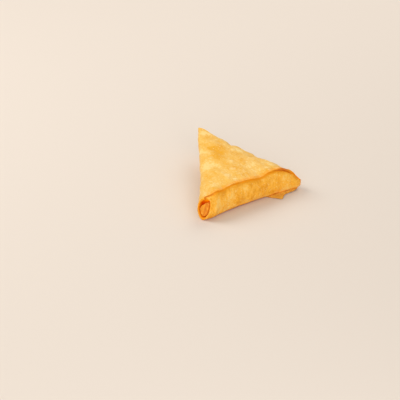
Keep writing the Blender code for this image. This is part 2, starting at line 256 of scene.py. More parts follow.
def foldBehind(x, slant):
    # Y at which a slice through x, slanted in plan, meets the folded edge behind it
    onLeft = np.interp(x, leftFold[:, 0] + slant * (leftFold[:, 1] - mouthY), leftFold[:, 1])
    onRight = np.interp(x, rightFold[::-1, 0], rightFold[::-1, 1])
    soft = pocket["pointSoftness"]
    return min(onLeft, onRight) - soft * math.log1p(math.exp(-abs(onLeft - onRight) / soft))


def swell(x, y, reach):
    # 0 at either folded side, 1 well inside, and round in between
    left, right = distanceTo(leftFold, x, y), distanceTo(rightFold, x, y)
    inside = left * right / np.maximum(left + right, tiny)
    return (1 - (1 - np.clip(inside / reach, 0, 1)) ** 2) ** pocket["swellPower"]


def fromFold(x, y):
    # how far in from the nearer fold
    return np.minimum(distanceTo(leftFold, x, y), distanceTo(rightFold, x, y))


def foldLevel(x, y):
    # height of the two folds, which lie in one plane but for a few low places
    plane = pocket["foldHeight"] + pocket["foldRise"] * y + pocket["foldRoll"] * x
    for atX, atY, reach, depth in pocket["lowPlaces"]:
        plane = plane - depth * hump(x, atX, reach) * hump(y, atY, reach)
    return plane


def doughEdge(inset):
    # how far the dough's round folded edge is from the folds' plane
    dough = pocket["dough"]
    return dough * np.sqrt(1 - (1 - np.clip(inset / dough, 0, 1)) ** 2)


def topHeight(x, y, inset):
    back = np.clip(y / pocket["point"][1], 0, 1)
    rise = pocket["topSwell"] + (pocket["topSwellAtPoint"] - pocket["topSwell"]) * back
    firstX, firstY, secondY, secondX = pocket["waveReach"]
    waves = pocket["wave"] * np.sin(x / firstX + y / firstY) * np.sin(y / secondY - x / secondX)
    crown = pocket["topCrown"] * np.sin(np.pi * back)
    lift = rise - pocket["dough"] + crown + waves
    return foldLevel(x, y) + doughEdge(inset) + lift * swell(x, y, pocket["topReach"])


def bellyHeight(x, y, inset):
    flatTo = pocket["bellyFlatTo"]
    tail = np.clip((y - flatTo) / (pocket["point"][1] - flatTo), 0, 1)
    atPoint = foldLevel(*pocket["point"]) - pocket["dough"]
    lowest = atPoint * tail ** pocket["bellyRisePower"] - pocket["bellyPressed"] * (1 - tail)
    fold = foldLevel(x, y)
    depth = fold - pocket["dough"] - lowest
    return np.maximum(fold - doughEdge(inset) - depth * swell(x, y, pocket["bellyReach"]), 0)


def towardFold(count, crowd=2):
    # shares from 0 at the fold to 1 at the front, closer together near the fold
    s = np.linspace(0, 1, count)
    return s * s * (1 + crowd) / (1 + crowd * s)


def throughPoints(points, count):
    # a rounded line through a few points, cut into even steps of its own measure
    points = np.array(points, float)
    padded = np.vstack((2 * points[0] - points[1], points, 2 * points[-1] - points[-2]))
    at = np.linspace(0, len(points) - 1, count)
    low = np.clip(at.astype(int), 0, len(points) - 2)
    t = (at - low)[:, None]
    a, b, c, d = (padded[low + i] for i in range(4))
    return 0.5 * (2 * b + (c - a) * t + (2 * a - 5 * b + 4 * c - d) * t**2
                  + (3 * b - a - 3 * c + d) * t**3)


def fromFront(away, whole, reach):
    # 1 at the front edge, falling off behind it, and 0 at the fold
    return np.exp(-away / reach) - math.exp(-whole / reach) * (away / whole) ** 2


def bandLine(startY, startZ, front, middle, under):
    # Y and Z down the band: an arc from below the lip, then one that turns under to the foot
    high, low = pocket["bandArc"]
    upper = np.radians(np.linspace(high, low, pocket["bandPoints"] // 2 + 1))[1:]
    lower = np.radians(np.linspace(low, 90, pocket["bandPoints"] - len(upper) + 1))[1:]
    reachUp = (startZ - middle) / math.sin(math.radians(high))
    bulge = (startY - front) / (1 - math.cos(math.radians(high)))
    y = np.concatenate((front + bulge * (1 - np.cos(upper)), front + under * (1 - np.cos(lower))))
    z = np.concatenate((middle + reachUp * np.sin(upper), middle - middle * np.sin(lower)))
    return y, z


def bodySlice(x, slant):
    # Y and Z round the plain body: fold, top sheet, lip, band, belly
    back, front = foldBehind(x, slant), float(frontLine(x))
    depth = back - front
    setback = min(pocket["lipSetback"], pocket["mostSetback"] * depth)
    under = min(pocket["bandUnder"], pocket["mostUnder"] * depth)
    lipY, lipZ, footY = front + setback, float(lipHeight(x)), front + under
    bead = min(float(beadRadius(x)), pocket["mostBead"] * depth)
    middle = lipZ * pocket["bandMiddle"]

    def plan(y):
        # X at a Y of the slice, and how far in from the folds that is, which is 0 at its own end
        across = x - slant * (y - mouthY)
        atEnd = float(fromFold(x - slant * (back - mouthY), back))
        inset = fromFold(across, y) - atEnd * np.exp(-(back - y) / pocket["endFade"])
        return across, np.maximum(inset, 0)

    def top(y):
        across, inset = plan(y)
        return topHeight(across, y, inset)

    atLip = float(top(np.array([lipY]))[0])

    def settledTop(y):
        return top(y) + (lipZ - atLip) * fromFront(y - lipY, back - lipY, pocket["lipFade"])

    beadFrom, beadNext = (lipY + run * bead for run in pocket["beadRun"])
    yTop = back + (beadFrom - back) * towardFold(pocket["topPoints"])
    zTop = settledTop(yTop)

    fromZ, nextZ = settledTop(np.array((beadFrom, beadNext)))
    outline = [(lipY + a * bead, lipZ + b * bead) for a, b in pocket["beadProfile"]]
    lip = throughPoints([(beadFrom, fromZ), (beadNext, nextZ)] + outline, pocket["lipPoints"] + 1)[1:]
    yBand, zBand = bandLine(*outline[-1], front, middle, under)

    yBelly = back + (footY - back) * towardFold(pocket["bellyPoints"] + 2)[::-1]
    xBelly, inset = plan(yBelly)
    zBelly = bellyHeight(xBelly, yBelly, inset)
    zBelly -= zBelly[0] * fromFront(yBelly - footY, back - footY, pocket["footFade"])
    yBelly, zBelly = yBelly[1:-1], np.maximum(zBelly[1:-1], 0)
    y = np.concatenate((yTop, lip[:, 0], yBand, yBelly))
    z = np.concatenate((zTop, lip[:, 1], zBand, zBelly))
    return y, z


def rollOval(angle, stretch=0.0):
    # Y and Z on the roll's outline, at angles from the back over its top, stretched back as asked
    c, s = np.cos(angle), np.sin(angle)
    power = np.where(c > 0, np.where(s > 0, *roll["fullness"]), 1.0)
    y = mouthY + roll["halfWidth"] * np.sign(c) * np.abs(c) ** power
    z = mouthZ + roll["halfHeight"] * np.sign(s) * np.abs(s) ** power
    return y + stretch * np.clip(c, 0, 1) ** 2 - roll["topSkew"] * np.clip(s, 0, 1) ** 2, z


def rollSlice(stretch=0.0, tucked=True):
    # Y and Z round the oval roll, point for point like a slice of the body
    lipFrom, lipTurn, lowest, whole = roll["lipAngle"], roll["lipTurn"], 270, 360
    top = np.linspace(0, lipFrom, pocket["topPoints"])
    lip = np.linspace(0, 1, pocket["lipPoints"] + 1)[1:]
    band = np.linspace(lipFrom + lipTurn, lowest, pocket["bandPoints"] + 1)[1:]
    belly = np.linspace(lowest, whole, pocket["bellyPoints"] + 2)[1:-1]
    degrees = np.concatenate((top, lipFrom + lipTurn * lip, band, belly))
    y, z = rollOval(np.radians(degrees), stretch)
    tuck = np.ones(len(y))
    if tucked:
        bulge, bulgeAt, bulgeWidth = roll["seamBulge"]
        groove, grooveAt, grooveWidth = roll["seamGroove"]
        tuck[lipSpan] += bulge * hump(lip, bulgeAt, bulgeWidth)
        tuck[lipSpan] -= groove * hump(lip, grooveAt, grooveWidth)
        left = roll["grooveLeft"] * groove * np.linspace(1, 0, roll["grooveSteps"]) ** 2
        tuck[bandStart : bandStart + len(left)] -= left
    return mouthY + (y - mouthY) * tuck, mouthZ + (z - mouthZ) * tuck


def askew(x, y, z, nearMouth):
    # a slice's points in space, turned in plan and leaned over as it nears the mouth
    slant, lean = roll["slant"] * nearMouth, roll["lean"] * nearMouth
    return np.column_stack((x - slant * (y - mouthY) + lean * (z - mouthZ), y, z))


def station(x):
    # the points of one ring: the body's, the roll's near the mouth, and drawn in round the nose
    nearMouth = 1 - smoothStep(mouthX, mouthX + roll["reach"], x)
    slant = roll["slant"] * nearMouth
    y, z = bodySlice(x, slant)
    rollY, rollZ = rollSlice(max(foldBehind(x, slant) - mouthY - roll["halfWidth"], 0))
    y, z = y + (rollY - y) * nearMouth, z + (rollZ - z) * nearMouth
    noseFrom, noseTo, noseCentre = pocket["noseFrom"], pocket["noseTo"], pocket["noseCentre"]
    if x > noseFrom:
        blunt = pocket["noseBluntness"]
        shrink = (1 - min((x - noseFrom) / (noseTo - noseFrom), 1) ** blunt) ** (1 / blunt)
        y = noseCentre[0] + shrink * (y - noseCentre[0])
        z = noseCentre[1] + shrink * (z - noseCentre[1])
    return askew(x, y, z, nearMouth)


def stationPlaces():
    # X of every ring, closer together toward both ends
    t = np.linspace(0, 1, pocket["stations"])
    first, last = mouthX, pocket["noseFrom"]
    atPoint = (pocket["point"][0] - first) / (last - first)
    shares = t + pocket["crowding"] * np.sin(2 * np.pi * (t - atPoint))
    places = first + (last - first) * (shares - shares[0]) / (shares[-1] - shares[0])
    turn = np.linspace(0, math.pi / 2, pocket["noseStations"] + 1)[1:-1]
    return np.concatenate((places, last + (pocket["noseTo"] - last) * np.sin(turn)))


mouthMiddle = np.array(roll["at"])
mouthAxis = np.array((1, roll["slant"] * roll["axisTurn"], -roll["lean"] * roll["axisTurn"]))
mouthAxis /= np.linalg.norm(mouthAxis)
mouthOutline = askew(mouthX, *rollSlice(tucked=False), 1)


def mouthOval(inset, depth, outline=mouthOutline, opened=1.0):
    # the mouth's outline drawn in by an inset at the sides and one above and below, and set deeper
    side, high = inset
    shares = 1 - np.array((side, side, high)) / np.array(
        (roll["halfWidth"], roll["halfWidth"], roll["halfHeight"]))
    oval = mouthMiddle + (outline - mouthMiddle) * shares + mouthAxis * depth
    lifted = np.clip((outline[:, 2] - mouthZ) / roll["halfHeight"], 0, 1) ** 2
    return oval + opened * roll["openSkew"] * lifted[:, None] * np.array((roll["slant"], -1, 0))


def outwardNormals(grid):
    # unit normals of rings that follow one another to the right, each from its back over its top
    around = np.roll(grid, -1, axis=1) - np.roll(grid, 1, axis=1)
    normal = np.cross(around, np.gradient(grid, axis=0))
    return normal / np.maximum(np.linalg.norm(normal, axis=-1, keepdims=True), tiny)


def skin(name, grid, masks, endTip=None):
    # a closed mesh over rings of equal count, each end shut by a fan. Its masks become attributes:
    # each is an array or one number, and 0 if left out.
    rings, count = grid.shape[:2]
    endTip = grid[-1].mean(0) if endTip is None else endTip
    points = np.vstack((grid.reshape(-1, 3), grid[0].mean(0), endTip))
    here = np.arange(rings * count).reshape(rings, count)
    ahead = np.roll(here, -1, axis=1)
    quads = np.stack((here[:-1], ahead[:-1], ahead[1:], here[1:]), -1).reshape(-1, 4)
    start = np.column_stack((ahead[0], here[0], np.full(count, rings * count)))
    end = np.column_stack((here[-1], ahead[-1], np.full(count, rings * count + 1)))
    mesh = bpy.data.meshes.new(name)
    mesh.from_pydata((points * mm).tolist(), [], quads.tolist() + start.tolist() + end.tolist())
    for maskName in ("browned", "toast", "bubble", "patch", "band", "inside"):
        mask = np.broadcast_to(masks.get(maskName, 0.0), (rings, count))
        values = np.concatenate((mask.ravel(), (mask[0].mean(), mask[-1].mean())))
        attribute = mesh.attributes.new(maskName, "FLOAT", "POINT")
        attribute.data.foreach_set("value", values.astype(np.float32))
    mesh.shade_smooth()
    piece = bpy.data.objects.new(name, mesh)
    bpy.context.collection.objects.link(piece)
    return piece


relief = {
    # bubbles: how many, their box of the sheet, their radii, their heights and a seed
    "topBubbles": (330, (-64, 72, 0, 132), (1, 3), (0.08, 0.4), 5),
    "lipBubbles": (90, (-58, 40, 3, 22), (0.7, 2.2), (0.15, 0.5), 8),
    "bandBubbles": (170, (-58, 70, 3, 30), (0.7, 2.4), (0.06, 0.32), 9),
    "bubbleReach": 10,  # this far in from the folds they have their full height
    # blisters: how many, radii, heights, seed, and how far in from the corners and from the point
    "blisters": (34, (3.2, 6), (0.32, 0.8), 11, (9, 12)),
    # hills and puckers of the whole skin: height, reach and seed
    "uneven": ((0.28, 17, 3), (0.176, 6.5, 4)),
    "calmGroove": (0.1, 0.5, 0.75),  # across the lip: from, to, and how much calmer the skin is there
    # the band's upright wrinkles: height, lengths, sideways drift, reach and seed of both patterns,
    # and the X where they start and are full
    "wrinkleHeight": 0.1,
    "wrinkleLengths": (4.3, 7.1, 11.7),
    "wrinkleDrift": (1.5, 21, 6),
    "wrinklePatches": (26, 7),
    "wrinklesFrom": (-42, -30),
    # where the relief fades out: across the lip, across the band, by the mouth and by the floor
    "topEnds": (0.05, 0.3),
    "bandStarts": (0, 0.25),
    "bandEnds": (0.8, 1),
    "clearOfMouth": 9,
    "clearOfFloor": 3,
}

# Patches that fried darker (above 0) or stayed paler: place, half sizes, turn, strength. The top
# sheet's are in X and Y, the band's in X and Z. The band's pale ones toward its left end are partly
# painted light, where the band is lit brighter.
topPatches = (
    (4, 82, 9.5, 6, 0, 1.2), (2, 70, 8.5, 7, 0, 1.1), (-4, 60, 6, 5, 0, 0.8),
    (-6, 45, 5, 8, 20, 0.45), (-3, 30, 8, 4.5, 0, 0.6), (12, 112, 4, 6, 0, 0.6),
    (-37, 33, 5, 6, 0, 0.45), (15, 44, 6, 4, 0, 0.5), (1, 13, 12, 4, 0, 0.5),
    (16, 92, 4, 5, 0, 0.4), (36, 8, 8, 3, 0, 0.3), (20, 60, 5, 4, 0, 0.4),
    (20, 29, 8, 5, 0, -0.6), (-13.7, 10, 3.6, 2.8, 0, -1.2), (-46, 15, 5, 5, 0, -0.2),
    (-38, 12, 5, 3, 0, -0.2), (-24, 53, 8, 10, 25, -1), (27, 67, 4, 5, 0, -0.8),
    (11.5, 121, 5, 6, 0, -1.1), (-11, 88, 4, 15, 25, -0.8), (24, 16, 6, 3.5, 0, -0.6),
    (-22, 21, 6, 5, 0, -0.35), (33, 16, 3.5, 3, 0, -0.9), (46, 24, 8, 8, 0, -0.4),
)
bandPatches = (
    (-35, 27.5, 5.5, 3.5, 0, 0.7), (-15, 12, 6, 8, 0, 0.85), (-14, 2, 9, 3, 0, 0.5),
    (6, 9, 7, 7, 0, 0.5), (21, 15, 8, 9, 0, 0.7), (41, 20, 5, 4, 0, 0.7),
    (66, 12, 5, 6, 0, 0.2), (-42, 4, 8, 3, 0, 0.4), (32, 7, 9, 4, 0, 0.4),
    (-48, 17, 7, 8, 0, -0.9), (-25, 20, 6.5, 8, 0, -0.75), (-5, 22, 5, 6, 0, -0.75),
    (20, 27, 5, 3, 0, -0.8), (52, 21, 7, 5, 0, -0.4), (-31, 6, 6, 3, 0, -0.4),
)


def patchField(x, y, patches):
    # the strengths of all patches, each fading out round its middle
    total = np.zeros(np.shape(x))
    for atX, atY, halfX, halfY, turn, strength in patches:
        c, s = math.cos(math.radians(turn)), math.sin(math.radians(turn))
        u, v = (x - atX) * c + (y - atY) * s, (y - atY) * c - (x - atX) * s
        total += strength * np.exp(-((u / halfX) ** 2) - (v / halfY) ** 2)
    return total


browning = {
    # along the lip by X: how brown it is, how far down the band that reaches, and over the edge
    "lip": curveThrough(((-62, 1.2), (-57, 1), (-52, 0.85), (-42, 0.8), (-30, 0.65), (0, 0.6),
                         (20, 0.65), (34, 0.8), (44, 1), (54, 1.05), (59, 0.8), (64, 0.35),
                         (72, 0.1))),
    "lipBelow": curveThrough(((-62, 2.2), (-50, 2), (-40, 1.6), (40, 1.6), (50, 1.3), (72, 1.3))),
    "lipOver": curveThrough(((-62, 0.1), (20, 0.1), (38, 0.3), (44, 0.6), (53, 0.85), (59, 0.5),
                             (64, 0.2), (73, 0.1))),
    # across the lip: where it starts and is full, and how much sooner where it reaches over
    "lipStarts": (0.3, 0.28),
    "lipFull": (0.62, 0.4),
    "topEdge": (0.6, 1.2),  # strength and reach over the top sheet's edge
    # the band's foot by X: painted contact shade, partly browning, and how far up it reaches
    "footBrowningAndShade": curveThrough(((-66, 0.6), (-56, 0.8), (-46, 1), (40, 1.1), (56, 1.3), (74, 1.2))),
    "footReach": 2.4,
    "bubbleFull": 0.5,  # height of a bubble that shows its full colour
    # the band's own colour: where it is full across the lip, and gone across the belly
    "bandOnLip": (0.5, 0.9),
    "bandOnBelly": (0, 0.3),
}

toasting = {
    "nose": 0.45,
    "noseFrom": (62, 73),
    "mouth": (0.35, 4),  # strength and reach
    "topEdge": (0.6, 2),
    "lip": 0.6,
}

# patches that follow an edge: strength and reach, with the X between which they come or go. Those below
# the lip and at the roll's foot are painted shade, the paler one low on the band is painted bounce
# light
deepening = {
    "shadeBelowLip": (0.75, 4),
    "topEdge": (0.3, 9),
    "bounceLightLowBand": (-0.6, 4),
    "lowBandAt": 3.5,
    "lowBandFrom": (-54, -46),
    "shadeAtRollFoot": (1.1, 7),
    "rollFootTo": (-56, -48),
}


def makeBlisters():
    # seeded places, radii and heights of the broad blisters of the top sheet
    count, radii, heights, seed, margin = relief["blisters"]
    draw = np.random.RandomState(seed)
    return np.column_stack((
        draw.uniform(pocket["leftCorner"][0] + margin[0], pocket["rightCorner"][0] - margin[0], count),
        draw.uniform(0, pocket["point"][1] - margin[1], count),
        draw.uniform(*radii, count),
        draw.uniform(*heights, count)))


def liftSkin(grid, along):
    # raises the relief on the plain form, and gives the top sheet's mask and the bubbles' height
    x, y, z = np.moveaxis(grid, -1, 0)
    onTop, onBand, lively = np.zeros(x.shape), np.zeros(x.shape), np.ones(x.shape)
    onTop[:, topSpan] = 1
    onTop[:, lipSpan] = 1 - smoothStep(*relief["topEnds"], acrossLip)
    onBand[:, bandSpan] = smoothStep(*relief["bandStarts"], acrossBand)
    onBand[:, bandSpan] *= 1 - smoothStep(*relief["bandEnds"], acrossBand)
    calmFrom, calmTo, calm = relief["calmGroove"]
    lively[:, lipSpan] = 1 - smoothStep(calmFrom, calmTo, acrossLip) * calm

    topBubbles = domes(x, y, scatter(*relief["topBubbles"]))
    lipBubbles = domes(x, y, scatter(*relief["lipBubbles"]))
    raised = domes(x, y, makeBlisters()) + np.maximum(topBubbles, lipBubbles)
    raised *= onTop * swell(x, y, relief["bubbleReach"])
    raised += onBand * domes(along, z, scatter(*relief["bandBubbles"]))
    uneven = sum(height * rolling(grid, reach, seed) for height, reach, seed in relief["uneven"])
    drift, driftReach, driftSeed = relief["wrinkleDrift"]
    sideways = along + drift * rolling(grid, driftReach, driftSeed)
    wrinkles = sum(np.sin(sideways * 2 * math.pi / length + i)
                   for i, length in enumerate(relief["wrinkleLengths"]))
    wrinkles *= relief["wrinkleHeight"] * rolling(grid, *relief["wrinklePatches"])
    wrinkles *= smoothStep(*relief["wrinklesFrom"], along)

    clear = smoothStep(mouthX, mouthX + relief["clearOfMouth"], along)
    clear *= smoothStep(0, relief["clearOfFloor"], z)
    lifted = clear * (raised + uneven * lively + onBand * wrinkles)
    grid += outwardNormals(grid) * lifted[..., None]
    grid[..., 2] = np.maximum(grid[..., 2], 0)
    return onTop, raised


def crustMasks(grid, along, onTop, raised):
    # browned edges with painted contact shade along the band's foot, toasted parts, pale bubbles,
    # darker patches with painted shade and light, and the front band
    x, y, z = np.moveaxis(grid, -1, 0)
    places = along[:, 0]
    over, belowReach, lipBrown, footBrownAndShade = (
        browning[name](places)[:, None] for name in ("lipOver", "lipBelow", "lip", "footBrowningAndShade"))
    steps = np.diff(grid[:, bandSpan], axis=1, prepend=grid[:, bandSpan][:, :1])
    below = np.linalg.norm(steps, axis=-1).cumsum(1)
    topEdge = np.linalg.norm(grid[:, topSpan] - grid[:, lipStart][:, None], axis=-1)

    browned = np.zeros(x.shape)
    (starts, sooner), (full, fullSooner) = browning["lipStarts"], browning["lipFull"]
    browned[:, lipSpan] = smoothStep(starts - sooner * over, full - fullSooner * over, acrossLip)
    browned[:, bandSpan] = hump(below, 0, belowReach)
    browned[:, topSpan] = over * faded(topEdge, *browning["topEdge"])
    browned *= lipBrown
    # painted contact shade along the band's foot, with some browning
    overFoot = z[:, bandSpan] - z[:, bandSpan][:, -1:]
    browned[:, bandSpan] += footBrownAndShade * hump(overFoot, 0, browning["footReach"])

    band = np.zeros(x.shape)
    band[:, lipSpan] = smoothStep(*browning["bandOnLip"], acrossLip)
    band[:, bandSpan] = 1
    band[:, bellySpan] = 1 - smoothStep(*browning["bandOnBelly"], acrossBelly)

    toast = toasting["nose"] * smoothStep(*toasting["noseFrom"], along) * band
    toast[:, topSpan] += faded(topEdge, *toasting["topEdge"])
    toast[:, lipSpan] += toasting["lip"]
    toast += faded(along - mouthX, *toasting["mouth"]) * band

    patch = patchField(x, y, topPatches) * onTop + patchField(along, z, bandPatches) * band
    # painted shade on the band below the lip
    patch[:, bandSpan] += faded(below, *deepening["shadeBelowLip"])
    patch[:, topSpan] += faded(topEdge, *deepening["topEdge"])
    # painted bounce light: the band paler low down
    bounceLightLowBand = faded(z - deepening["lowBandAt"], *deepening["bounceLightLowBand"])
    patch += bounceLightLowBand * band * smoothStep(*deepening["lowBandFrom"], along)
    # painted shade at the roll's foot
    shadeAtRollFoot = faded(z, *deepening["shadeAtRollFoot"])
    patch += shadeAtRollFoot * band * (1 - smoothStep(*deepening["rollFootTo"], along))
    return {
        "browned": np.clip(browned, 0, 1),
        "toast": np.clip(toast, 0, 1),
        "bubble": np.clip(raised / browning["bubbleFull"], 0, 1),
        "patch": patch,
        "band": band,
        "inside": np.zeros(x.shape),
    }


mouthShade = {
    "rimKept": 0.5,  # share of the outer browning that is left at the rim's inner edge
    # each first everywhere and then what is added: on the left, at the inner edge, and higher up
    "rimBrowned": (0.4, 0.5),
    "rimToasted": (0.2, 0.6),
    # how much painted shade of the mouth's recess its wall shows: everywhere, and more higher up
    "wallRecessShade": (0.55, 0.45),
    "leftFrom": (-2, 6),
    "highTo": 0.8,
    "wallStarts": (0.25, 0.5),  # its colour just inside the rim, and the power with which it deepens
}


def makeMouth(rimBrowned):
    # rings and masks of the mouth, from the deepest ring of its wall out to its rounded rim
    turn = np.linspace(0, math.pi, roll["rimSteps"] + 1)[1:]
    inward = (1 - np.cos(turn)) / 2
    wall = np.array(roll["wall"])
    rims = [mouthOval(wall * share, -roll["rimOut"] * math.sin(a), opened=share)
            for a, share in zip(turn, inward)]
    walls = [mouthOval(wall, depth)
             for depth in np.linspace(roll["wallFrom"], roll["depth"], roll["wallSteps"])]
    rings = np.array((rims + walls)[::-1])
    shape = rings.shape[:2]
    first, power = mouthShade["wallStarts"]
    deep = np.concatenate((np.zeros(len(rims)), np.linspace(first, 1, len(walls)) ** power))
    fromEdge = np.concatenate((inward, np.ones(len(walls))))[::-1, None]
    onLeft = smoothStep(*mouthShade["leftFrom"], rings[..., 1] - mouthY)
    high = smoothStep(0, mouthShade["highTo"], (rings[..., 2] - mouthZ) / roll["halfHeight"])

    # painted shade: the wall takes the recess colour deeper in and higher up under the lip
    shown, shownHigh = mouthShade["wallRecessShade"]
    inside = np.broadcast_to(deep[::-1, None], shape) * (shown + shownHigh * high)
    brown, brownLeft = mouthShade["rimBrowned"]
    browned = rimBrowned * (1 - mouthShade["rimKept"] * fromEdge)
    browned = browned + (brown + brownLeft * onLeft) * fromEdge
    toasted, toastedInside = mouthShade["rimToasted"]
    return rings, {
        "browned": np.clip(browned, 0, 1) * (1 - inside),
        "toast": np.clip(toasted + toastedInside * fromEdge, 0, 1) * (1 - inside),
        "band": np.ones(shape),
        "inside": inside,
    }


def makePocket():
    places = stationPlaces()
    grid = np.array([station(x) for x in places])
    along = np.broadcast_to(places[:, None], grid.shape[:2])
    onTop, raised = liftSkin(grid, along)
    masks = crustMasks(grid, along, onTop, raised)
    mouth, mouthMasks = makeMouth(masks["browned"][0])
    whole = np.vstack((mouth, grid))
    masks = {name: np.vstack((mouthMasks.get(name, np.zeros(mouth.shape[:2])), mask))
             for name, mask in masks.items()}
    return skin("pocketCrust", whole, masks, endTip=np.array((pocket["noseTo"], *pocket["noseCentre"])))


innerTurn = {
    "points": 120,
    "gap": (1.25, 2.1),  # between it and the wall: at the sides, and above and below
    "drop": 1.05,
    "shift": 0.5,
    "cut": 0.34,  # how much its upper back corner is drawn in
    "cutAngle": 48,
    "cutWidth": 34,
    "faceDepth": 0.5,
    "facePart": (0.04, 0.86),  # shares of its size between which its face is flat
    "faceRings": 20,
    "round": 1.3,
    "roundRings": 8,
    "sideFrom": 2,  # depths between which its hidden side runs, and the share where it starts
    "hidden": 5,
    "sideStart": 0.1,
    "flare": 0.24,  # how much it widens inside, until it meets the wall
    "sideRings": 8,
    # the line where its two layers meet: depth, half width, place, lean, sway and the sway's length
    "slit": (0.4, 0.8, 1, 0.04, 0.35, 3.2),
    "slitEnds": (6, 8.5),
    "slitPast": 4,  # rings beyond the face that the slit still marks
    "bumps": (0.25, 5, 21),
    "blotches": (5, 22),
    # each first everywhere, then what the slit or the front side and the blotches add
    "browned": (0.25, 0.45, 0.24, 0.14),
    "toast": (0.45, 0.25, 0.2),
    "frontFrom": (2, -3),
    "patch": 0.3,
    # painted shade of the mouth's recess along its hidden side
    "inside": (0.22, 0.55),  # along its hidden side
}


def makeInnerTurn():
    look = innerTurn
    angles = np.linspace(0, 2 * math.pi, look["points"], endpoint=False)
    outline = askew(mouthX, *rollOval(angles), 1)
    away = (np.degrees(angles) - look["cutAngle"] + 180) % 360 - 180
    drawnIn = 1 - look["cut"] * hump(away, 0, look["cutWidth"])
    outline = mouthMiddle + (outline - mouthMiddle) * drawnIn[:, None]
    edge = np.array(roll["wall"]) + look["gap"]
    slide = np.array((-roll["slant"] * look["shift"], look["shift"], -look["drop"]))
    centre = mouthMiddle + slide
    full = mouthOval(edge, 0, outline) + slide

    def ring(share, depth):
        return centre + (full - centre) * share + mouthAxis * depth

    smallest, flatTo = look["facePart"]
    face = [ring(share, look["faceDepth"])
            for share in np.linspace(smallest, flatTo, look["faceRings"])]
    turn = np.linspace(0, math.pi / 2, look["roundRings"] + 1)[1:]
    sines, drops = np.sin(turn), 1 - np.cos(turn)
    rounded = [ring(flatTo + (1 - flatTo) * s, look["faceDepth"] + look["round"] * d)
               for s, d in zip(sines, drops)]
    side = [ring(1 + look["flare"] * t, look["sideFrom"] + (look["hidden"] - look["sideFrom"]) * t)
            for t in np.linspace(look["sideStart"], 1, look["sideRings"])]
    grid = np.array(face + rounded + side)
    shape = grid.shape[:2]
    _, offY, offZ = np.moveaxis(grid - centre, -1, 0)

    depth, width, place, lean, sway, swayLength = look["slit"]
    acrossFace = offY + place + lean * offZ - sway * np.sin(offZ / swayLength)
    onFace = np.zeros(shape)
    onFace[: len(face) + look["slitPast"]] = 1
    slit = hump(acrossFace, 0, width) * (1 - smoothStep(*look["slitEnds"], np.abs(offZ))) * onFace
    height, reach, seed = look["bumps"]
    bumps = height * rolling(grid, reach, seed) * onFace
    grid += mouthAxis * (slit * depth + bumps)[..., None]

    toFront = smoothStep(*look["frontFrom"], offY)
    blotches = rolling(grid, *look["blotches"])
    brown, atSlit, atFront, blotched = look["browned"]
    browned = brown + atSlit * slit + atFront * toFront + blotched * blotches
    toast, atFront, blotched = look["toast"]
    toast = toast + atFront * toFront + blotched * blotches
    starts, full = look["inside"]
    rows = np.concatenate((np.zeros(len(face) + len(rounded)), np.linspace(starts, full, len(side))))
    return skin("innerTurn", grid, {
        "browned": np.clip(browned, 0, 1),
        "toast": np.clip(toast, 0, 1),
        "patch": look["patch"],
        "band": 1,
        "inside": rows[:, None],
    })


flap = {
    # Y of its edge, and how high it lies, by X
    "edge": ((25, 9), (30, 3), (36, -4), (40.3, -7.7), (43.5, -5), (47, -1.5), (57, 0.6), (65, 1.9),
             (71, 5.5)),
    "lift": ((25, 0.1), (40, 0.15), (50, 0.3), (60, 0.6), (71, 1.5)),
    "thickness": 1.25,
    "squareness": 0.5,  # of its section: 1 is oval
    "root": 14,  # Y of its hidden back edge, or this far before the fold where that is nearer
    "under": 5,
    "taper": 5,  # over this length its right end narrows and thins
    "taperPart": 0.9,  # how much of a quarter oval that follows
    "ripple": (0.22, 7, 31),
    "offFloor": 0.05,
    "browned": (0.45, 0.7),  # strength and reach along its edge
    "toast": 0.05,
    "patch": -0.1,
    "stations": 130,
    "points": 56,
}


def makeFlap():
    edgeLine, liftLine = curveThrough(flap["edge"]), curveThrough(flap["lift"])
    first, last = flap["edge"][0][0], flap["edge"][-1][0]
    halfThickness = flap["thickness"] / 2
    turn = 2 * np.pi * np.arange(flap["points"]) / flap["points"]
    flat = np.sign(np.sin(turn)) * np.abs(np.sin(turn)) ** flap["squareness"]
    rings, edges = [], []
    for x in np.linspace(first, last, flap["stations"]):
        near = min((last - x) / flap["taper"], flap["taperPart"])
        taper = math.sqrt(1 - flap["taperPart"] * (1 - near) ** 2)
        root = min(flap["root"], foldBehind(x, 0) - flap["under"])
        edge = float(edgeLine(x))
        half = (root - edge) / 2
        y = root - half + half * taper * np.cos(turn)
        z = float(liftLine(x)) + halfThickness + halfThickness * taper * flat
        rings.append(np.column_stack((np.full(len(turn), x), y, z)))
        edges.append(y - edge)
    grid, fromEdge = np.array(rings), np.array(edges)
    height, reach, seed = flap["ripple"]
    grid[..., 2] += height * rolling(grid * np.array((1, 1, 0)), reach, seed)
    grid[..., 2] = np.maximum(grid[..., 2], flap["offFloor"])
    return skin("looseCorner", grid, {
        "browned": faded(fromEdge, *flap["browned"]),
        "toast": flap["toast"],
        "patch": flap["patch"],
        "band": 1,
    })


pieces = (makePocket(), makeInnerTurn(), makeFlap())
print("pocket shaped:", sum(len(piece.data.loop_triangles) for piece in pieces), "triangles")

# Set the pieces onto the frame: the middle of the crust's plan goes to the middle of the CAD box.
crustPoints = np.array([v.co for v in pieces[0].data.vertices])
crustMiddle = (crustPoints.min(0) + crustPoints.max(0)) / 2
cadMiddle = (cadBox[0] + cadBox[1]) / 2
shift = Vector((crustMiddle[0] - cadMiddle.x, crustMiddle[1] - cadMiddle.y, 0))
for piece in pieces:
    piece.data.transform(Matrix.Translation(-shift))


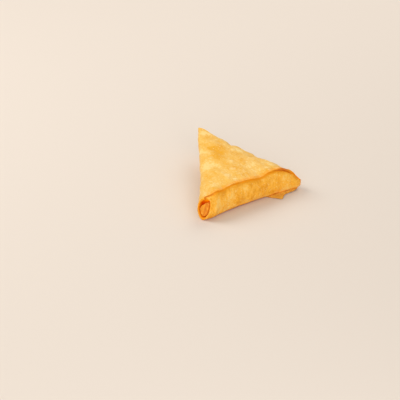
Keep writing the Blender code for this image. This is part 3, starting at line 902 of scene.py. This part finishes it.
class Field:
    # one output of a shader node, to reckon with in plain Python signs
    def __init__(self, tree, socket=None):
        self.tree, self.socket = tree, socket

    def make(self, kind, settings=None, sockets=None, out=0):
        # adds any node: its settings first, then a value or a link for each socket
        node = self.tree.nodes.new(kind)
        for name, value in (settings or {}).items():
            setattr(node, name, value)
        for name, value in (sockets or {}).items():
            if isinstance(value, Field):
                self.tree.links.new(value.socket, node.inputs[name])
            else:
                node.inputs[name].default_value = value
        return Field(self.tree, node.outputs[out])

    def maths(self, operation, first, second):
        return self.make("ShaderNodeMath", {"operation": operation}, {0: first, 1: second})

    def __add__(self, other):
        return self.maths("ADD", self, other)

    def __sub__(self, other):
        return self.maths("SUBTRACT", self, other)

    def __rsub__(self, other):
        return self.maths("SUBTRACT", other, self)

    def __mul__(self, other):
        return self.maths("MULTIPLY", self, other)

    __radd__ = __add__
    __rmul__ = __mul__

    def between(self, low, high):
        # 0 below low, 1 above high, eased in between
        return self.make("ShaderNodeMapRange", {"interpolation_type": "SMOOTHSTEP"},
                         {"Value": self, "From Min": low, "From Max": high})

    def tint(self, first, second):
        # the first colour where this field is 0, the second where it is 1
        return self.make("ShaderNodeMix", {"data_type": "RGBA"}, {0: self, 6: first, 7: second}, 2)

    def mask(self, name):
        return self.make("ShaderNodeAttribute", {"attribute_name": name}, out="Fac")

    def noise(self, scale, detail, roughness):
        # read at the place that this field is
        return self.make("ShaderNodeTexNoise", None,
                         {"Vector": self, "Scale": scale, "Detail": detail, "Roughness": roughness})

    def cells(self, scale, out):
        return self.make("ShaderNodeTexVoronoi", None, {"Vector": self, "Scale": scale}, out)

    def stretched(self, x, y, z):
        return self.make("ShaderNodeVectorMath", {"operation": "MULTIPLY"}, {0: self, 1: (x, y, z)})


def paint(r, g, b):
    # a colour as a screen shows it, made linear for a shader socket
    def linear(value):
        value /= 255
        return value / 12.92 if value <= 0.04045 else ((value + 0.055) / 1.055) ** 2.4

    return (linear(r), linear(g), linear(b), 1)


crustLook = {
    "top": paint(242, 188, 84),
    "topPale": paint(250, 212, 130),
    "topDeep": paint(236, 165, 10),
    "band": paint(251, 182, 58),
    "bandPale": paint(253, 202, 102),
    "bandDeep": paint(236, 158, 26),
    "bubble": paint(250, 212, 136),
    # colour of the pale specks: partly pale blister tops, partly painted glints
    "glintSpeck": paint(253, 218, 140),
    "toasted": paint(248, 158, 14),
    "browned": paint(240, 153, 0),
    "dark": paint(206, 108, 10),
    # painted shade: the deep red-orange of the mouth's shaded recess
    "inside": paint(226, 92, 0),
    # painted glow: emission, no lamp, that stands in for light through the thin dough and bounced
    # inside the roll
    "glow": (1, 0.5, 0, 1),  # light that comes through the thin dough inside the roll
    "specular": 0.25,
    "roughness": (0.36, 0.55),
    # noises: scale, detail and roughness, and how they are stretched in X, Y and Z
    "stretch": (1, 0.55, 1),
    "upStretch": (1, 1, 0.35),
    "broad": (62, 3, 0.55),
    "middling": (190, 3, 0.6),
    "fine": (620, 3, 0.6),
    "upright": (300, 3, 0.6),
    "grit": (1500, 2, 0.6),
    "speckScale": 420,
    "poreScale": 700,
    # shares of the broad or upright, the middling and the fine noise, and of the patches
    "topTone": (1.5, 1.7, 2.3, 1.1),
    "bandTone": (1.2, 2.2, 2.3, 0.8),
    # the tones where a deeper or a paler colour starts and is full
    "topDeepAt": (-0.15, 1.15),
    "bandDeepAt": (-0.05, 0.75),
    "paleAt": (0.05, 0.75),
    # masks broken up by the middling noise: the least that is left of them, and what it adds
    "broken": {"bubble": (0.45, 0.6), "toast": (0.6, 0.8), "browned": (0.65, 0.7)},
    # colours laid on in turn: mask, colour, and where it starts and is full
    "layers": (("bubble", "bubble", 0.15, 1), ("toast", "toasted", 0.05, 1),
               ("browned", "browned", 0.12, 0.62), ("browned", "dark", 0.7, 1.15)),
    # pale specks, partly pale blister tops and partly painted glints, and brown freckles: distance from
    # a cell's middle, which cells have one, strength
    "glintSpecks": ((0.08, 0.38), (0.4, 0.8), 0.85),
    "freckles": ((0.05, 0.3), (0.72, 0.9), 0.35),
    "frecklesOnBand": 0.25,
    "ragged": 0.5,
    "noSpecksAt": (0.05, 0.3),  # browning where the specks start to go and are gone
    "insideAt": (0.1, 0.5),
    "glowAt": (0.45, 1),
    "roughAt": (0.3, 0.7),
    "grain": 0.35,
    "grainDepth": 0.0003,
    # the grain's heights: fine noise, grit, pores, upright streaks of the band and specks
    "heights": (0.6, 0.3, 0.25, 0.6, 0.8),
    "poreEdge": 0.35,
}

# what differs from the crust on the inner turn and on the loose corner, which are duller
turnLook = {
    "toasted": paint(241, 147, 44),
    "browned": paint(230, 136, 28),
}
cornerLook = {
    "band": paint(238, 176, 66),
    "bandPale": paint(242, 190, 92),
    "bandDeep": paint(228, 156, 38),
    "browned": paint(206, 124, 20),
}


def makeCrustMaterial(name, look):
    material = bpy.data.materials.new(name)
    material.use_nodes = True
    tree = material.node_tree
    shader = tree.nodes["Principled BSDF"]
    shader.inputs["Specular IOR Level"].default_value = look["specular"]
    f = Field(tree)
    place = f.make("ShaderNodeTexCoord", out="Object")
    drawn = place.stretched(*look["stretch"])
    broad, middling, fine = (drawn.noise(*look[size]) for size in ("broad", "middling", "fine"))
    upright = place.stretched(*look["upStretch"]).noise(*look["upright"])
    patch, band, inside = f.mask("patch"), f.mask("band"), f.mask("inside")

    def toned(coarse, shares):
        # how much deeper than its middle tone the skin is
        ofCoarse, ofMiddling, ofFine, ofPatch = shares
        noises = (coarse - 0.5) * ofCoarse + (middling - 0.5) * ofMiddling + (fine - 0.5) * ofFine
        return noises + patch * ofPatch

    # the top sheet is deeper and paler in patches, the band is streaked up and down
    tone, streaks = toned(broad, look["topTone"]), toned(upright, look["bandTone"])
    top = tone.between(*look["topDeepAt"]).tint(look["top"], look["topDeep"])
    top = (0 - tone).between(*look["paleAt"]).tint(top, look["topPale"])
    front = streaks.between(*look["bandDeepAt"]).tint(look["band"], look["bandDeep"])
    front = (0 - streaks).between(*look["paleAt"]).tint(front, look["bandPale"])
    colour = band.tint(top, front)
    broken = {mask: f.mask(mask) * (least + middling * more)
              for mask, (least, more) in look["broken"].items()}
    for mask, layer, starts, full in look["layers"]:
        colour = broken[mask].between(starts, full).tint(colour, look[layer])

    # each cell's own grey says whether it has a speck or a freckle
    chosen = place.cells(look["speckScale"], "Color")
    away = place.cells(look["speckScale"], "Distance") + (fine - 0.5) * look["ragged"]
    near, choice, strength = look["glintSpecks"]
    # pale specks: partly painted glints on tiny blisters, kept off the browned parts
    glintSpecks = (1 - away.between(*near)) * chosen.between(*choice)
    unbrowned = 1 - broken["browned"].between(*look["noSpecksAt"])
    colour = (glintSpecks * unbrowned * strength).tint(colour, look["glintSpeck"])
    near, choice, strength = look["freckles"]
    freckles = (1 - away.between(*near)) * (1 - chosen).between(*choice)
    colour = (freckles * (strength + band * look["frecklesOnBand"])).tint(colour, look["browned"])
    # painted shade of the mouth's recess
    colour = inside.between(*look["insideAt"]).tint(colour, look["inside"])
    # painted glow where the painted recess shade is deepest
    glow = inside.between(*look["glowAt"]).tint((0, 0, 0, 1), look["glow"])
    shader.inputs["Emission Strength"].default_value = 1.0

    low, high = look["roughness"]
    rough = low + (high - low) * (0.5 * fine + 0.5 * middling).between(*look["roughAt"])
    pores = place.cells(look["poreScale"], "Distance").between(0, look["poreEdge"])
    ofFine, ofGrit, ofPores, ofStreaks, ofSpecks = look["heights"]
    height = fine * ofFine + place.noise(*look["grit"]) * ofGrit + pores * ofPores
    height = height + upright * band * ofStreaks + glintSpecks * ofSpecks
    grain = {"Strength": look["grain"], "Distance": look["grainDepth"], "Height": height}
    bump = f.make("ShaderNodeBump", None, grain)
    ends = {"Base Color": colour, "Emission Color": glow, "Roughness": rough, "Normal": bump}
    for end, field in ends.items():
        tree.links.new(field.socket, shader.inputs[end])
    return material


looks = (("friedCrust", {}), ("turnCrust", turnLook), ("cornerCrust", cornerLook))
for piece, (name, changes) in zip(pieces, looks):
    piece.data.materials.append(makeCrustMaterial(name, {**crustLook, **changes}))
    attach(piece, "root")
    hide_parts("pastry_pocket")
print("crust painted")

studio = {
    "floor": paint(229, 217, 205),
    "floorSize": 6,
    "floorDrop": 0.0003,
    "floorRoughness": 0.9,
    "floorSpecular": 0.1,
    "world": 0.5,
    "worldColour": (1, 0.985, 0.96, 1),
    "lights": (
        # name, place, size, watts, colour
        ("backLeft", (-0.75, 0.75, 1.05), 0.9, 10.5, (1, 0.98, 0.94)),
        ("backRight", (0.85, 0.55, 0.95), 0.8, 4.8, (1, 0.98, 0.95)),
        ("front", (-0.6, -1.25, 0.5), 1.2, 10.5, (1, 0.99, 0.97)),
    ),
}


def makeStudio():
    bpy.ops.mesh.primitive_plane_add(size=studio["floorSize"], location=(0, 0, -studio["floorDrop"]))
    floor = bpy.context.object
    floor.name = "floor"
    material = bpy.data.materials.new("paleFloor")
    material.use_nodes = True
    shader = material.node_tree.nodes["Principled BSDF"]
    shader.inputs["Base Color"].default_value = studio["floor"]
    shader.inputs["Roughness"].default_value = studio["floorRoughness"]
    shader.inputs["Specular IOR Level"].default_value = studio["floorSpecular"]
    floor.data.materials.append(material)
    for name, place, size, watts, colour in studio["lights"]:
        data = bpy.data.lights.new(name, "AREA")
        data.size, data.energy, data.color = size, watts, colour
        lamp = bpy.data.objects.new(name, data)
        lamp.location = place
        lamp.rotation_euler = (-Vector(place)).to_track_quat("-Z", "Y").to_euler()
        bpy.context.collection.objects.link(lamp)
    world = bpy.data.worlds.new("softRoom")
    world.use_nodes = True
    ground = world.node_tree.nodes["Background"]
    ground.inputs["Color"].default_value = studio["worldColour"]
    ground.inputs["Strength"].default_value = studio["world"]
    bpy.context.scene.world = world
    bpy.context.scene.view_settings.view_transform = "Standard"


view = {
    "azimuth": -31,
    "elevation": 28.94,
    "target": (-42.3, 39.9, 0),  # in the pocket's own plan
    "distance": 3003,
    "lens": 234,  # with a sensor 36 wide
    "farthest": 50,
}


def makeCamera():
    az, el = math.radians(view["azimuth"]), math.radians(view["elevation"])
    back = Vector((math.sin(az) * math.cos(el), -math.cos(az) * math.cos(el), math.sin(el)))
    right = Vector((math.cos(az), math.sin(az), 0))
    up = back.cross(right)
    data = bpy.data.cameras.new("camera")
    data.lens = view["lens"]
    data.clip_end = view["farthest"]
    camera = bpy.data.objects.new("camera", data)
    turned = Matrix((right, up, back)).transposed().to_4x4()
    spot = Vector(view["target"]) * mm - shift + back * view["distance"] * mm
    camera.matrix_world = Matrix.Translation(spot) @ turned
    bpy.context.collection.objects.link(camera)
    bpy.context.scene.camera = camera


makeStudio()
makeCamera()
print("studio lit, camera set")
